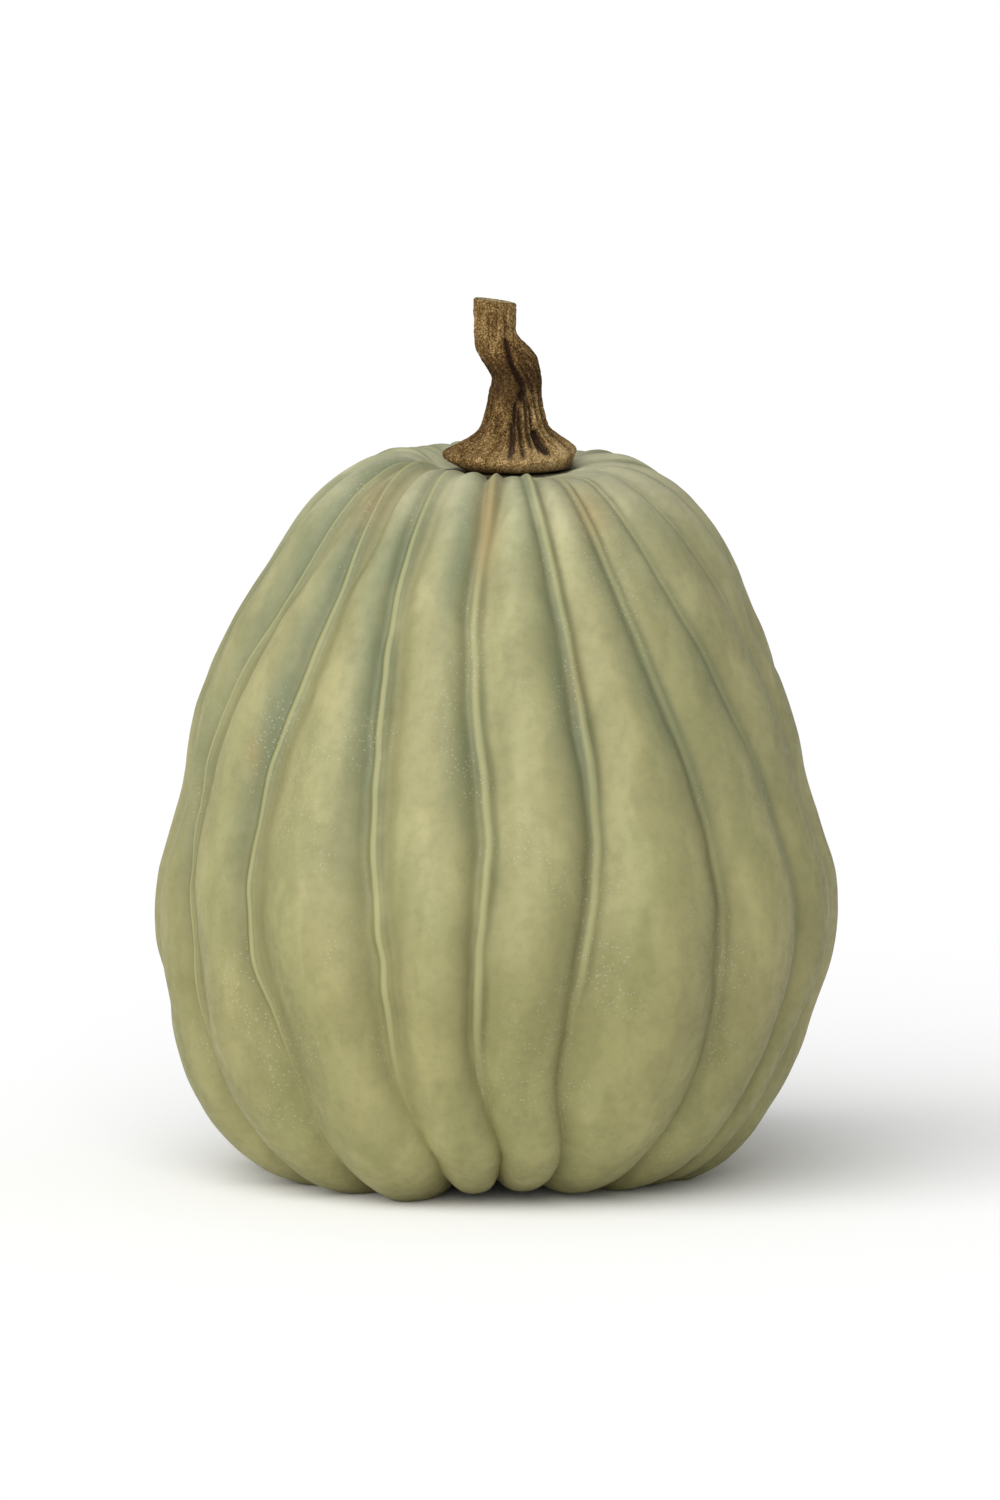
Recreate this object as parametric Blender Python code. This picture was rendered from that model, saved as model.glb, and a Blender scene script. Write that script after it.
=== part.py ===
"""A tall ribbed pumpkin standing upright, with its woody stem.

Two pieces: the fruit, and the stem that stands on the small flat seat in the middle of
its top. Metres, +Z up, the front towards -Y. The origin lies on the surface that the
fruit stands on, under the middle of the fruit. Azimuths are counted from the front,
positive towards +X.
"""

import math
import random

import bmesh
import bpy
import numpy as np

MM = 0.001

# Fruit: the crest of a lobe from the seat of the stem down to the blossom end,
# as (radius, height, depth of the grooves beside it) in millimetres
FRUIT_OUTLINE = (
    (24, 313.5, 0),
    (31, 314.6, 1.0),
    (39, 316.4, 1.8),
    (48, 317.0, 2.8),
    (60, 315.0, 4.2),
    (73, 308.4, 5.6),
    (86, 296, 7.0),
    (102, 275, 8.5),
    (116, 250, 9),
    (127, 224, 9.5),
    (135, 199, 10),
    (139.5, 176, 10),
    (145.5, 155, 10.5),
    (151, 134, 11),
    (152, 116, 11),
    (150, 98, 11),
    (144, 76, 11),
    (138, 56, 11),
    (128, 34, 11.5),
    (115, 17, 11.5),
    (101, 6.6, 11.5),
    (88, 1.2, 11),
    (76, -1.4, 9.5),
    (65, -1.6, 7.5),
    (50, 2.6, 5),
    (32, 9.0, 2.5),
    (14, 11, 0),
)
SLOPE_STEP = 0.2 * MM
SEAT_HEIGHT = 313.5 * MM

# The middle of the fruit wanders: to the right at the top and to the left at the base,
# as (height, shift) in millimetres
AXIS_SHIFT = ((0, -5), (45, -4.5), (100, 0), (225, 0), (265, 3), (300, 5), (320, 5))

# The lobes round the seat rise higher on one side
TOP_RISE = 5.5 * MM
TOP_RISE_AZIMUTH = -110
TOP_RISE_RADII = (26 * MM, 48 * MM)
TOP_RISE_HEIGHTS = (265 * MM, 308 * MM)

# Grooves: azimuth in degrees of each groove at seven heights in millimetres. The front
# ones wander as they do on the fruit, and the back ones are drawn evenly with a little
# chance.
GROOVE_HEIGHTS = (310, 275, 230, 170, 110, 60, 15)
FRONT_GROOVES = (
    (-87, -90, -89, -88, -87, -86, -82),
    (-57, -62, -67, -72, -66, -65, -58),
    (-45, -44, -44, -49, -46, -40, -37),
    (-27, -27, -23.5, -22.4, -19.6, -17, -10.5),
    (-5, -6.5, -4, -1, -3, -1, 4.5),
    (10, 13.5, 17.2, 19, 15, 14.3, 19),
    (25, 29, 35.5, 43.5, 43, 45.5, 41),
    (37, 43, 53, 64, 65, 65, 59),
    (55, 63, 73, 81, 81, 77, 70),
    (80, 84, 92, 100, 101, 98, 92),
)
BACK_GROOVE_COUNT = 7
BACK_GROOVE_SPREAD = 2.5
BACK_GROOVE_SWAY = 2.5
SEED = 41

# Broad hollows and swellings that bend the even shape, as (azimuth in degrees, height,
# half width, half height, rise in millimetres). The seat of the stem stays flat.
SWELLS = (
    (88, 250, 24, 16, -5.5),
    (-88, 166, 26, 26, -2.8),
    (-90, 84, 20, 12, -3.6),
    (90, 55, 24, 16, 1.5),
    (2, 0, 26, 30, -3.5),
    (30, 0, 26, 30, -2.5),
    (76, 4, 22, 16, 2.5),
    (-90, 309, 22, 10, -3.5),
    (125, 317, 26, 10, 1.2),
)
SWELL_RADII = (24 * MM, 36 * MM)

# Cross-section of a lobe, which is steeper on its right: how square each edge is, where
# it meets the valley in vein widths from the groove's line, and how softly it does so as
# a share of the groove's depth
LEFT_EDGE = 0.2
RIGHT_EDGE = 0.5
LEFT_FLOOR = 1.8
RIGHT_FLOOR = 0.65
LEFT_SOFTNESS = 0.36
RIGHT_SOFTNESS = 0.12
LEFT_DEPTH_SHARE = 0.8
LEAST_BLEND = 0.01 * MM
FULLNESS_PER_DEGREE = 0.28 * MM

# The grooves and veins are weaker on the right shoulder: the middle of that place as
# (azimuth in degrees, height), how far it reaches, and the share that they lose there
CALM_MIDDLE = (55, 285 * MM)
CALM_REACH = (32, 75 * MM)
CALM_SHARE = 0.65

# The vein that runs down each groove: its height and its half widths at the left and the
# right of a lobe, narrower where the lobes are. It rises from nothing beside the seat and
# sinks again towards the base.
VEIN_HEIGHT = 4.0 * MM
LEFT_VEIN_WIDTH = 5.0 * MM
RIGHT_VEIN_WIDTH = 6.0 * MM
VEIN_PITCH = 20 * MM
VEIN_START_RADII = (26 * MM, 60 * MM)
VEIN_END_HEIGHTS = (18 * MM, 105 * MM)

# Grid of the fruit: steps across half a lobe, first in vein widths, then as shares
FRUIT_ROWS = 30
VEIN_STEPS = (1.05,)
LOBE_STEPS = (0.2, 0.46, 0.72, 1.0)

# Stem: rings from the foot up, as (height, middle x, middle y, half width, half depth)
# in millimetres
STEM_RINGS = (
    (317.4, 7.2, 0, 28.6, 27.2),
    (319.2, 7.2, 0, 29.2, 27.6),
    (321.2, 7.3, 0, 28.0, 26.0),
    (323.2, 7.9, 0, 25.0, 23.0),
    (326.0, 8.3, 0, 20.6, 19.6),
    (329.5, 8.6, 0, 17.2, 16.8),
    (334.0, 8.5, 0, 15.0, 14.6),
    (340.0, 8.5, 0, 13.3, 13.0),
    (348.5, 8.7, 0, 11.6, 11.4),
    (355.0, 9.4, 0, 10.8, 10.8),
    (360.0, 7.6, 0, 11.8, 11.2),
    (365.5, 4.8, 0, 12.6, 11.4),
    (369.5, 2.6, 0, 11.5, 10.6),
    (373.0, 0.8, 0, 9.8, 9.8),
    (381.0, 0.1, 0, 9.2, 9.4),
    (389.0, -0.1, 0, 9.2, 9.2),
)
STEM_GAP = 0.3 * MM
STEM_SOLE_RADIUS = 20 * MM
EDGE_SHARE = 0.95
STEM_ROWS = 30
STEM_COLUMNS = 64

# Round the foot, as (azimuth, height of the rim's lower edge above the seat, rise of the
# rest of the rim) in degrees and millimetres
RIM = (
    (-180, 2.6, 1.0),
    (-135, 3.8, 1.6),
    (-90, 5.0, 2.0),
    (-45, 2.4, 0.4),
    (0, 1.9, 0.0),
    (45, 1.9, 1.0),
    (90, 2.1, 3.4),
    (135, 2.4, 2.2),
    (180, 2.6, 1.0),
)
RIM_TOP = 324 * MM
RIM_FADE = 336 * MM
TOE_WAVES = ((3, 0.03, 1.0), (5, 0.022, 2.2), (8, 0.012, 0.4))
CUT_TILT = 2.4 * MM
CUT_DEPTH = 8 * MM

# Flutes of the stem, each as its depth and half width in millimetres and its line down
# the stem as (height in millimetres, azimuth in degrees). They fade out at both ends.
FLUTES = (
    (2.8, 1.7, ((375, 32), (369, 14), (364.5, 5), (360, 0), (354.5, 7), (348, 30))),
    (1.5, 1.2, ((360, 18), (357, 24), (353, 39), (345, 50))),
    (3.4, 2.0, ((352.5, 17), (348, 18), (343, 17))),
    (1.6, 1.6, ((348, -6), (345, -4), (341, -2))),
    (2.2, 1.5, ((344, 8), (335, 9), (326, 10), (318.5, 11))),
    (2.0, 1.5, ((349, 27), (340, 25), (332, 23), (322, 22))),
    (2.5, 1.7, ((338, -5), (330, -4), (318.5, -1))),
    (4.2, 2.6, ((334, 36), (328, 36), (319.5, 38))),
    (1.3, 1.6, ((341, -38), (333, -34), (326, -30))),
    (1.8, 1.8, ((352, 75), (340, 68), (330, 70), (320, 74))),
    (2.4, 2.0, ((384, 96), (368, 104), (356, 124), (344, 112), (332, 112), (320, 116))),
    (2.0, 2.0, ((366, 150), (352, 170), (340, 160), (320, 158))),
    (2.6, 2.2, ((386, 176), (370, 186), (356, 214), (340, 200), (320, 203))),
    (2.0, 1.8, ((350, 246), (336, 244), (320, 243))),
    (2.2, 2.0, ((384, 250), (370, 258), (358, 284), (344, 272), (320, 270))),
    (1.4, 1.8, ((340, 300), (330, 298), (321, 296))),
)
FLUTE_FADE = 4 * MM


def clear_scene():
    for thing in list(bpy.data.objects):
        bpy.data.objects.remove(thing, do_unlink=True)


def make_material(name, colour, roughness, metallic=0.0):
    material = bpy.data.materials.new(name)
    material.use_nodes = True
    shader = material.node_tree.nodes["Principled BSDF"]
    shader.inputs["Base Color"].default_value = (*colour, 1.0)
    shader.inputs["Roughness"].default_value = roughness
    shader.inputs["Metallic"].default_value = metallic
    return material


def smooth_values(knots, values, places):
    """A smooth curve through the values, read at the places. The ends are held level."""
    knots = np.asarray(knots, float)
    values = np.asarray(values, float)
    places = np.clip(places, knots[0], knots[-1])
    slopes = np.gradient(values, knots, axis=0)
    left = np.clip(np.searchsorted(knots, places, side="right") - 1, 0, len(knots) - 2)
    gap = knots[left + 1] - knots[left]
    t = (places - knots[left]) / gap
    if values.ndim == 2:
        t = t[:, None]
        gap = gap[:, None]
    return (
        (2 * t**3 - 3 * t**2 + 1) * values[left]
        + (t**3 - 2 * t**2 + t) * gap * slopes[left]
        + (3 * t**2 - 2 * t**3) * values[left + 1]
        + (t**3 - t**2) * gap * slopes[left + 1]
    )


def smooth_step(value, start=0.0, end=1.0):
    share = np.clip((value - start) / (end - start), 0.0, 1.0)
    return share * share * (3 - 2 * share)


def outline_stations(rows):
    """Radius, height, groove depth and outward normal at even steps down the outline."""
    points = np.array(FRUIT_OUTLINE) * MM
    chords = np.hypot(*np.diff(points[:, :2], axis=0).T)
    knots = np.concatenate(([0.0], np.cumsum(chords)))
    places = np.linspace(0.0, knots[-1], rows)
    curve = smooth_values(knots, points, places)
    ahead = smooth_values(knots, points, np.minimum(places + SLOPE_STEP, knots[-1]))
    behind = smooth_values(knots, points, np.maximum(places - SLOPE_STEP, 0.0))
    run = (ahead - behind)[:, :2]
    run /= np.hypot(run[:, 0], run[:, 1])[:, None]
    normal = np.stack([-run[:, 1], run[:, 0]], axis=1)
    return places / knots[-1], curve, normal


def groove_azimuths(heights):
    """Azimuth in degrees of every groove at each height, one row a height."""
    chance = random.Random(SEED)
    grooves = [list(line) for line in FRONT_GROOVES]
    first = FRONT_GROOVES[-1]
    last = [azimuth + 360 for azimuth in FRONT_GROOVES[0]]
    for number in range(1, BACK_GROOVE_COUNT + 1):
        share = number / (BACK_GROOVE_COUNT + 1)
        shift = chance.uniform(-BACK_GROOVE_SPREAD, BACK_GROOVE_SPREAD)
        line = []
        for start, end in zip(first, last):
            sway = chance.uniform(-BACK_GROOVE_SWAY, BACK_GROOVE_SWAY)
            line.append(start + (end - start) * share + shift + sway)
        grooves.append(line)
    knots = np.array(GROOVE_HEIGHTS[::-1]) * MM
    table = np.array(grooves).T[::-1]
    return smooth_values(knots, table, heights)


def groove_reading_heights(curve):
    """Heights for reading the grooves: they run straight on inside the top and base rings."""
    heights = curve[:, 1].copy()
    top_ring = np.argmax(heights)
    heights[:top_ring] = heights[top_ring]
    low_ring = np.argmin(heights)
    heights[low_ring:] = heights[low_ring]
    return heights


def vein_widths(pitch):
    """Half widths of the veins at a lobe's left and right: narrower where lobes are."""
    squeeze = 1 - np.exp(-pitch / VEIN_PITCH)
    return LEFT_VEIN_WIDTH * squeeze, RIGHT_VEIN_WIDTH * squeeze


def vein_strength(radius, height):
    """How far the veins are raised, from 0 to 1."""
    return smooth_step(radius, *VEIN_START_RADII) * smooth_step(height, *VEIN_END_HEIGHTS)


def calm(azimuth, height):
    """The share of their height that grooves and veins keep at each place."""
    aside = ((azimuth - CALM_MIDDLE[0] + 180) % 360 - 180) / CALM_REACH[0]
    above = (height - CALM_MIDDLE[1]) / CALM_REACH[1]
    return 1 - CALM_SHARE * np.exp(-(aside**2) - above**2)


def lobe_section(share, pitch, depth, strength):
    """How far the surface lies under the crest, across one lobe from groove to groove."""
    left_vein, right_vein = vein_widths(pitch)
    from_left = share * pitch
    from_right = (1 - share) * pitch
    left_floor = LEFT_FLOOR * left_vein * strength
    right_floor = RIGHT_FLOOR * right_vein * strength
    across = 2 * (from_left - left_floor) / (pitch - left_floor - right_floor) - 1
    edge = np.where(across < 0, LEFT_EDGE, RIGHT_EDGE)
    step = depth * (1 - LEFT_DEPTH_SHARE) * strength
    floor = depth - np.where(across < 0, step, 0.0)
    lobe = floor * ((1 - edge) * across**2 + edge * across**6)
    ridge = VEIN_HEIGHT * strength
    valley = floor + (step / 2 - ridge) * np.exp(-((from_left / left_vein) ** 2))
    valley -= (step / 2 + ridge) * np.exp(-((from_right / right_vein) ** 2))
    softness = LEFT_SOFTNESS + (RIGHT_SOFTNESS - LEFT_SOFTNESS) * share
    blend = np.maximum(softness * depth, LEAST_BLEND)
    return -blend * np.log(np.exp(-lobe / blend) + np.exp(-valley / blend))


def swelling(azimuth, height, radius):
    """How far the hollows and swellings move the surface at each point."""
    total = np.zeros_like(azimuth)
    for bearing, level, half_width, half_height, rise in SWELLS:
        aside = np.radians((azimuth - bearing + 180) % 360 - 180) * radius
        above = height - level * MM
        total += rise * MM * np.exp(
            -((aside / (half_width * MM)) ** 2) - (above / (half_height * MM)) ** 2
        )
    return total * smooth_step(radius, *SWELL_RADII)


def column_shares(pitch):
    """Places across a lobe, close together on and beside the veins, one row a pitch."""
    halves = []
    for vein in vein_widths(pitch):
        near = (vein / pitch)[:, None] * np.array(VEIN_STEPS)
        rising = near[:, -1:] + (0.5 - near[:, -1:]) * np.array(LOBE_STEPS)
        halves.append(np.concatenate((np.zeros((len(pitch), 1)), near, rising), axis=1))
    left, right = halves
    return np.concatenate((left, 1 - right[:, -2:0:-1]), axis=1)


def fruit_rings():
    """Rings of points from the seat of the stem down to the blossom end."""
    stations, curve, normal = outline_stations(FRUIT_ROWS)
    radius, height, depth = curve.T
    azimuths = groove_azimuths(groove_reading_heights(curve))
    count = azimuths.shape[1]
    lines = np.concatenate((azimuths, azimuths[:, :1] + 360), axis=1)
    swell = np.sqrt(np.sin(math.pi * stations))
    shift_table = np.array(AXIS_SHIFT) * MM
    drift = smooth_values(shift_table[:, 0], shift_table[:, 1], height)
    rise = TOP_RISE * smooth_step(radius, *TOP_RISE_RADII) * smooth_step(height, *TOP_RISE_HEIGHTS)
    strength = vein_strength(radius, height)
    parts = []
    for lobe in range(count):
        width = lines[:, lobe + 1] - lines[:, lobe]
        pitch = np.radians(width) * radius
        share = column_shares(pitch)
        fullness = FULLNESS_PER_DEGREE * (width - 360 / count) * swell
        bearing = lines[:, lobe, None] + share * width[:, None]
        kept = calm(bearing, height[:, None])
        drop = lobe_section(
            share, pitch[:, None], depth[:, None] * kept, strength[:, None] * kept
        )
        drop -= fullness[:, None] * np.sin(math.pi * share) ** 2
        drop -= swelling(bearing, height[:, None], radius[:, None])
        azimuth = np.radians(bearing)
        reach = radius[:, None] - normal[:, :1] * drop
        level = height[:, None] - normal[:, 1:] * drop
        level += rise[:, None] * (1 + np.cos(azimuth - math.radians(TOP_RISE_AZIMUTH))) / 2
        parts.append(np.stack((
            drift[:, None] + reach * np.sin(azimuth),
            -reach * np.cos(azimuth),
            level,
        ), axis=-1))
    points = np.concatenate(parts, axis=1)
    points[..., 2] = np.maximum(points[..., 2], 0.0)
    return points.tolist()


def skin_rings(name, rings, material):
    """A closed mesh through the rings, with a flat cap on the first and the last one."""
    mesh = bpy.data.meshes.new(name)
    shape = bmesh.new()
    loops = [[shape.verts.new(point) for point in ring] for ring in rings]
    for upper, lower in zip(loops, loops[1:]):
        for here in range(len(upper)):
            there = (here + 1) % len(upper)
            shape.faces.new((upper[here], lower[here], lower[there], upper[there]))
    shape.faces.new(loops[0])
    shape.faces.new(list(reversed(loops[-1])))
    bmesh.ops.triangulate(shape, faces=shape.faces[:])
    bmesh.ops.recalc_face_normals(shape, faces=shape.faces[:])
    shape.to_mesh(mesh)
    shape.free()
    mesh.materials.append(material)
    mesh.shade_smooth()
    thing = bpy.data.objects.new(name, mesh)
    bpy.context.scene.collection.objects.link(thing)
    return thing


def make_fruit():
    skin = make_material("pumpkin_skin", (0.44, 0.41, 0.22), 0.55)
    return skin_rings("fruit", fruit_rings(), skin)


def rim_levels(azimuth):
    """Height of the rim's lower edge above the seat and rise of its upper side."""
    table = np.array(RIM)
    _, edge, rise = smooth_values(table[:, 0], table, np.array([(azimuth + 180) % 360 - 180]))[0]
    return edge * MM, rise * MM


def toe_reach(azimuth):
    """How the foot's toes lengthen or shorten its radius, as a factor."""
    return 1 + sum(
        share * math.sin(math.radians(count * azimuth) + phase)
        for count, share, phase in TOE_WAVES
    )


def flute_cut(azimuth, height, radius):
    """How deep the flutes cut into the stem at an azimuth in degrees and a height."""
    cut = 0.0
    for depth, width, line in FLUTES:
        levels = np.array([level for level, _ in reversed(line)]) * MM
        bearings = np.array([bearing for _, bearing in reversed(line)], float)
        fade = smooth_step(height, levels[0], levels[0] + FLUTE_FADE)
        fade *= smooth_step(-height, -levels[-1], -levels[-1] + FLUTE_FADE)
        middle = float(smooth_values(levels, bearings, height))
        apart = math.radians((azimuth - middle + 180) % 360 - 180) * radius
        cut = max(cut, depth * MM * fade * math.exp(-((apart / (width * MM)) ** 2)))
    return cut


def stem_rings():
    """Rings from the sole of the foot, out over its rim and up the neck to the cut."""
    table = np.array(STEM_RINGS) * MM
    heights = table[:, 0]
    levels = np.linspace(heights[0], heights[-1], STEM_ROWS)
    rows = smooth_values(heights, table, levels)
    turns = [360 * step / STEM_COLUMNS for step in range(STEM_COLUMNS)]
    foot = rows[0]
    sole = []
    edge = []
    for turn in turns:
        angle = math.radians(turn)
        reach = EDGE_SHARE * toe_reach(turn)
        sole.append((foot[1] + STEM_SOLE_RADIUS * math.sin(angle),
                     foot[2] - STEM_SOLE_RADIUS * math.cos(angle),
                     SEAT_HEIGHT + STEM_GAP))
        edge.append((foot[1] + reach * foot[3] * math.sin(angle),
                     foot[2] - reach * foot[4] * math.cos(angle),
                     SEAT_HEIGHT + rim_levels(turn)[0]))
    rings = [sole, edge]
    top = heights[-1]
    for level, middle_x, middle_y, half_width, half_depth in rows:
        low = smooth_step(-level, -RIM_FADE, -RIM_TOP)
        high = smooth_step(level, top - CUT_DEPTH, top)
        ring = []
        for turn in turns:
            angle = math.radians(turn)
            cut = flute_cut(turn, level, half_width)
            reach = 1 + (toe_reach(turn) - 1) * low
            shift = rim_levels(turn)[1] * low - CUT_TILT / 2 * math.sin(angle) * high
            ring.append((
                middle_x + (reach * half_width - cut) * math.sin(angle),
                middle_y - (reach * half_depth - cut) * math.cos(angle),
                level + shift,
            ))
        rings.append(ring)
    return rings


def make_stem():
    bark = make_material("stem_bark", (0.26, 0.19, 0.1), 0.8)
    return skin_rings("stem", list(reversed(stem_rings())), bark)


def main():
    clear_scene()
    make_fruit()
    make_stem()


main()
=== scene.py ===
"""The looks of the ribbed pumpkin: a fine skin over the fruit, a fibrous fluted stem, a plain
pale floor, soft studio light and the camera."""

import math
import random

import bpy
import numpy as np
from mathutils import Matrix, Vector, noise


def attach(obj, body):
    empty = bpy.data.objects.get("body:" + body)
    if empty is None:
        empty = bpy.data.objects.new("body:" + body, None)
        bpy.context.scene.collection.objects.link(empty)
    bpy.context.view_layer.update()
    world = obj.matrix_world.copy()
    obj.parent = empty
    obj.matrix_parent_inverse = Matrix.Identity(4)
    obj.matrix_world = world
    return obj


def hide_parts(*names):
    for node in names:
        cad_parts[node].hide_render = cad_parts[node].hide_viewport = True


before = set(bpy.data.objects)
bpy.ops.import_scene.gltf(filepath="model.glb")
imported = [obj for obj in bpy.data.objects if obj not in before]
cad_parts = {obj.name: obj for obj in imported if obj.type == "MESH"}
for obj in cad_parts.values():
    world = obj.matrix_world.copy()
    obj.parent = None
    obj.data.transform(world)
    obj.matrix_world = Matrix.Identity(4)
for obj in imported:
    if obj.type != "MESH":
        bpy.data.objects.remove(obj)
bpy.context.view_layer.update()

MM = 0.001

# Fruit: the crest of a lobe from the seat of the stem down to the blossom end,
# as (radius, height, depth of the grooves beside it) in millimetres
FRUIT_OUTLINE = (
    (24, 313.5, 0),
    (31, 314.6, 1.0),
    (39, 316.4, 1.8),
    (48, 317.0, 2.8),
    (60, 315.0, 4.2),
    (73, 308.4, 5.6),
    (86, 296, 7.0),
    (102, 275, 8.5),
    (116, 250, 9),
    (127, 224, 9.5),
    (135, 199, 10),
    (139.5, 176, 10),
    (145.5, 155, 10.5),
    (151, 134, 11),
    (152, 116, 11),
    (150, 98, 11),
    (144, 76, 11),
    (138, 56, 11),
    (128, 34, 11.5),
    (115, 17, 11.5),
    (101, 6.6, 11.5),
    (88, 1.2, 11),
    (76, -1.4, 9.5),
    (65, -1.6, 7.5),
    (50, 2.6, 5),
    (32, 9.0, 2.5),
    (14, 11, 0),
)

# The step along the outline over which its slope is read, the flat seat of the stem, and
# the height that counts as the fruit's top for its colours
SLOPE_STEP = 0.2 * MM
SEAT_HEIGHT = 313.5 * MM
FRUIT_TOP = 320 * MM

# The middle of the fruit wanders: to the right at the top and to the left at the base,
# as (height, shift) in millimetres
AXIS_SHIFT = ((0, -5), (45, -4.5), (100, 0), (225, 0), (265, 3), (300, 5), (320, 5))

# The lobes round the seat rise higher on one side: by how much, at which azimuth, and the
# radii and heights over which the rise sets in
TOP_RISE = 5.5 * MM
TOP_RISE_AZIMUTH = -110
TOP_RISE_RADII = (26 * MM, 48 * MM)
TOP_RISE_HEIGHTS = (265 * MM, 308 * MM)

# Grooves: azimuth in degrees of each groove at seven heights in millimetres
GROOVE_HEIGHTS = (310, 275, 230, 170, 110, 60, 15)
FRONT_GROOVES = (
    (-87, -90, -89, -88, -87, -86, -82),
    (-57, -62, -67, -72, -66, -65, -58),
    (-45, -44, -44, -49, -46, -40, -37),
    (-27, -27, -23.5, -22.4, -19.6, -17, -10.5),
    (-5, -6.5, -4, -1, -3, -1, 4.5),
    (10, 13.5, 17.2, 19, 15, 14.3, 19),
    (25, 29, 35.5, 43.5, 43, 45.5, 41),
    (37, 43, 53, 64, 65, 65, 59),
    (55, 63, 73, 81, 81, 77, 70),
    (80, 84, 92, 100, 101, 98, 92),
)

# The grooves of the back fill the rest of the round: how many, how far chance moves each
# one, and how far it sways at each height, in degrees
BACK_GROOVE_COUNT = 7
BACK_GROOVE_SPREAD = 2.5
BACK_GROOVE_SWAY = 2.5
SEED = 41

# Broad hollows and swellings that bend the even shape, as (azimuth in degrees, height,
# half width, half height, rise in millimetres). The seat of the stem stays flat.
SWELLS = (
    (88, 250, 24, 16, -5.5),
    (-88, 166, 26, 26, -2.8),
    (-90, 84, 20, 12, -3.6),
    (90, 55, 24, 16, 1.5),
    (2, 0, 26, 30, -3.5),
    (30, 0, 26, 30, -2.5),
    (76, 4, 22, 16, 2.5),
    (-90, 309, 22, 10, -3.5),
    (125, 317, 26, 10, 1.2),
)
SWELL_RADII = (24 * MM, 36 * MM)

# Cross-section of a lobe, which is steeper on its right: how square each edge is, where
# it meets the valley in vein widths from the groove's line, and how softly it does so as
# a share of the groove's depth
LEFT_EDGE = 0.2
RIGHT_EDGE = 0.5
LEFT_FLOOR = 1.8
RIGHT_FLOOR = 0.65
LEFT_SOFTNESS = 0.36
RIGHT_SOFTNESS = 0.12
LEFT_DEPTH_SHARE = 0.8
LEAST_BLEND = 0.01 * MM
FULLNESS_PER_DEGREE = 0.28 * MM

# The grooves and veins are weaker on the right shoulder: the middle of that place as
# (azimuth in degrees, height), how far it reaches, and the share that they lose there
CALM_MIDDLE = (55, 285 * MM)
CALM_REACH = (32, 75 * MM)
CALM_SHARE = 0.65

# The vein that runs down each groove: its height and its half widths at the left and the
# right of a lobe, narrower where the lobes are. It rises from nothing beside the seat and
# sinks again towards the base.
VEIN_HEIGHT = 4.0 * MM
LEFT_VEIN_WIDTH = 5.0 * MM
RIGHT_VEIN_WIDTH = 6.0 * MM
VEIN_PITCH = 20 * MM
VEIN_START_RADII = (26 * MM, 60 * MM)
VEIN_END_HEIGHTS = (18 * MM, 105 * MM)

# Fine grid of the fruit: steps across half a lobe, first in vein widths, then as shares
FRUIT_ROWS = 226
VEIN_STEPS = (0.15, 0.32, 0.5, 0.71, 0.95, 1.23, 1.6)
LOBE_STEPS = (0.14, 0.32, 0.54, 0.78, 1.0)

# Small chance bends of each groove, and how the height of its vein changes along it:
# the most that each changes, in degrees and as a share, over what length, and where its
# chance values are read
WAVER = 0.32
WAVER_LENGTH = 15 * MM
WAVER_CHANCE = 0.5
VEIN_CHANGE = 0.5
VEIN_CHANGE_LENGTH = 24 * MM
VEIN_CHANGE_CHANCE = 4.5
GROOVE_CHANCE_STEP = 7.3

# The veins are lower on the right: the middle and half width of that place in degrees,
# and the share of their height that they lose there
LOW_VEIN_MIDDLE = 55
LOW_VEIN_WIDTH = 28
LOW_VEIN_SHARE = 0.5

# The vein right of the middle runs out early: its bearing and half width in degrees, the
# heights between which it fades, and the share of its height that it loses
SHORT_VEIN_MIDDLE = 14
SHORT_VEIN_WIDTH = 9
SHORT_VEIN_HEIGHTS = (80 * MM, 122 * MM)
SHORT_VEIN_SHARE = 0.75

# Unevenness of the skin: depth and size in metres of each layer of bumps, the depth of the
# grooves from which they are at full height, and where their chance values are read, the
# first number times the layer's own
SKIN_WAVES = ((0.9 * MM, 55 * MM), (0.35 * MM, 19 * MM), (0.12 * MM, 7 * MM))
WAVES_FROM_DEPTH = 3 * MM
WAVE_CHANCE = (3.7, 1.3, 8.1)

# The skin dips round the foot of the stem, at the front: the foot's middle, where the dip
# is deepest, its half width, its depth, its azimuth, and how squarely the skin must face
# that way, from 0 to 1
FOOT_MIDDLE = 7.2 * MM
DIP_RADIUS = 42 * MM
DIP_WIDTH = 15 * MM
DIP_DEPTH = 3.0 * MM
DIP_AZIMUTH = -8
DIP_FACING = (0.2, 0.9)

# A notch between two lobes there: its azimuth and half width in degrees, how far out its
# middle is and its half length, its depth, and how far the painted shade round the foot runs out
# along it
NOTCH_AZIMUTH = -9
NOTCH_WIDTH = 4.5
NOTCH_RADIUS = 48 * MM
NOTCH_LENGTH = 14 * MM
NOTCH_DEPTH = 2.6 * MM
NOTCH_SHADE_REACH = 20 * MM

# How much narrower the painted shade round the foot is at the back than at the front
FOOT_SHADE_NARROWING = 4 * MM

# Places with a warm tan tint, as (azimuth in degrees, height, half width, half height in
# millimetres, share of the tint)
WARM_PLACES = (
    (-6, 298, 5, 20, 0.8),
    (27, 303, 9, 12, 0.55),
    (-49, 303, 10, 10, 0.5),
    (17, 236, 4, 16, 0.35),
    (-52, 198, 3, 7, 0.5),
    (61, 268, 5, 14, 0.3),
)

# Places with a deeper green tint, partly the skin's own and partly painted shade, most of all low
# on the left, in the same form
DEEP_TINT_AND_SHADE_PLACES = (
    (-55, 42, 60, 26, 0.3),
    (-24, 296, 14, 14, 0.2),
    (-12, 284, 6, 26, 0.5),
    (-38, 66, 24, 24, 0.12),
    (24, 240, 22, 8, 0.12),
)

# How much faster the colour of a flank ends across its vein than it fades up its lobe
FLANK_CUT = 4

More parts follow.
